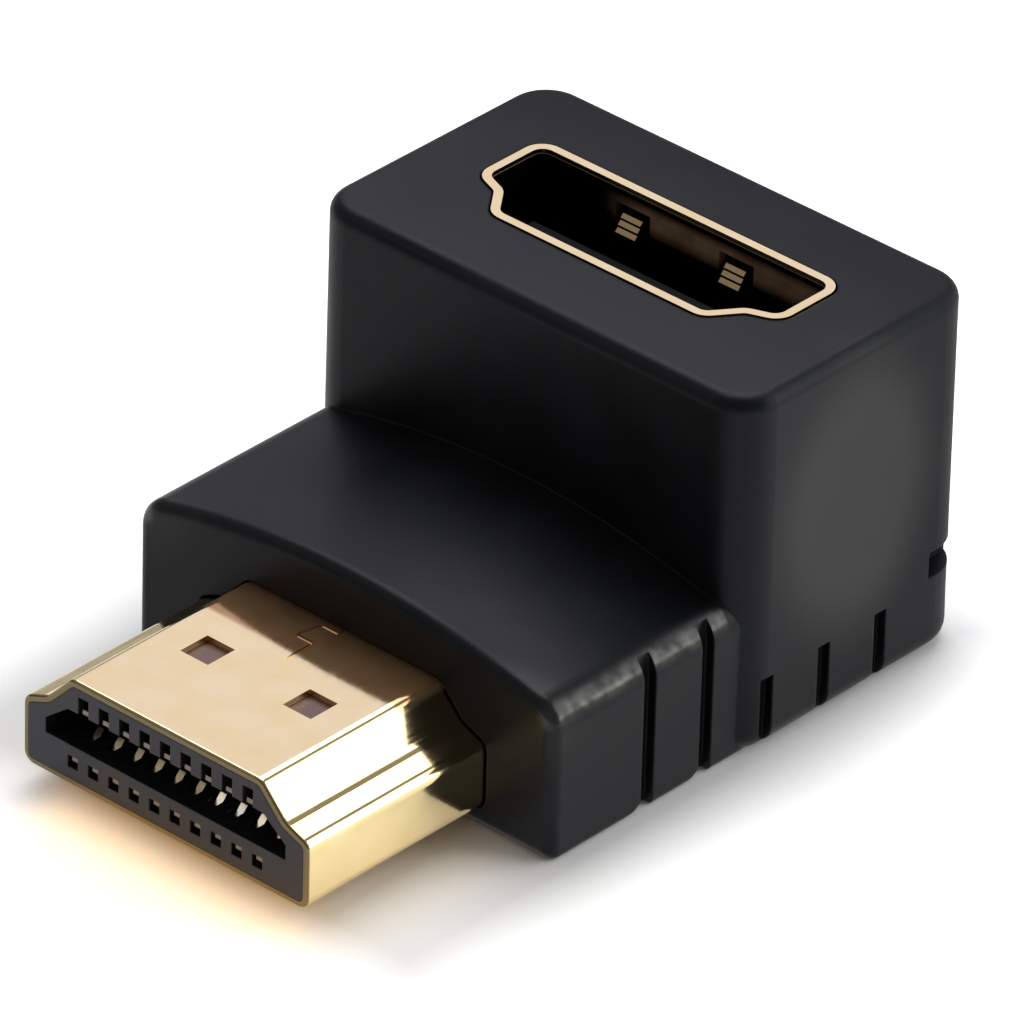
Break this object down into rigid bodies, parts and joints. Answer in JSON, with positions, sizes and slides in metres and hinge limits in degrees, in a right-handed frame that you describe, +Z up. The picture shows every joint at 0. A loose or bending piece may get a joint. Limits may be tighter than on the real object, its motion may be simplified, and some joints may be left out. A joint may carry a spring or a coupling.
{
  "type": "right angle video adapter",
  "caption": "Right angle adapter that turns a D-shaped video plug into a socket facing straight up, in a black moulded L-shaped housing with gold shells.",
  "frame": {"origin": "middle of the underside, half way from the plug's tip to the back of the block", "axes": "+Z up out of the socket, -Y out along the plug, X across the width"},
  "size_m": [0.0212, 0.031, 0.0149],
  "materials": {
    "housing": "satin black moulded PVC",
    "inner_mould": "black moulded PE",
    "insulator": "black moulded LCP",
    "plug_shell": "polished gold plate",
    "receptacle_shell": "polished gold plate",
    "contacts": "gold flashed phosphor bronze",
    "circuit_board": "green solder mask"
  },
  "bodies": {
    "root": {"housing": "housing", "inner_mould": "inner_mould", "plug_shell": "plug_shell", "plug_insulator": "insulator", "receptacle_shell": "receptacle_shell", "receptacle_insulator": "insulator", "circuit_board": "circuit_board", "plug_contact_01": "contacts", "plug_contact_02": "contacts", "plug_contact_03": "contacts", "plug_contact_04": "contacts", "plug_contact_05": "contacts", "plug_contact_06": "contacts", "plug_contact_07": "contacts", "plug_contact_08": "contacts", "plug_contact_09": "contacts", "plug_contact_10": "contacts", "plug_contact_11": "contacts", "plug_contact_12": "contacts", "plug_contact_13": "contacts", "plug_contact_14": "contacts", "plug_contact_15": "contacts", "plug_contact_16": "contacts", "plug_contact_17": "contacts", "plug_contact_18": "contacts", "plug_contact_19": "contacts", "receptacle_contact_01": "contacts", "receptacle_contact_02": "contacts", "receptacle_contact_03": "contacts", "receptacle_contact_04": "contacts", "receptacle_contact_05": "contacts", "receptacle_contact_06": "contacts", "receptacle_contact_07": "contacts", "receptacle_contact_08": "contacts", "receptacle_contact_09": "contacts", "receptacle_contact_10": "contacts", "receptacle_contact_11": "contacts", "receptacle_contact_12": "contacts", "receptacle_contact_13": "contacts", "receptacle_contact_14": "contacts", "receptacle_contact_15": "contacts", "receptacle_contact_16": "contacts", "receptacle_contact_17": "contacts", "receptacle_contact_18": "contacts", "receptacle_contact_19": "contacts"}
  },
  "joints": []
}
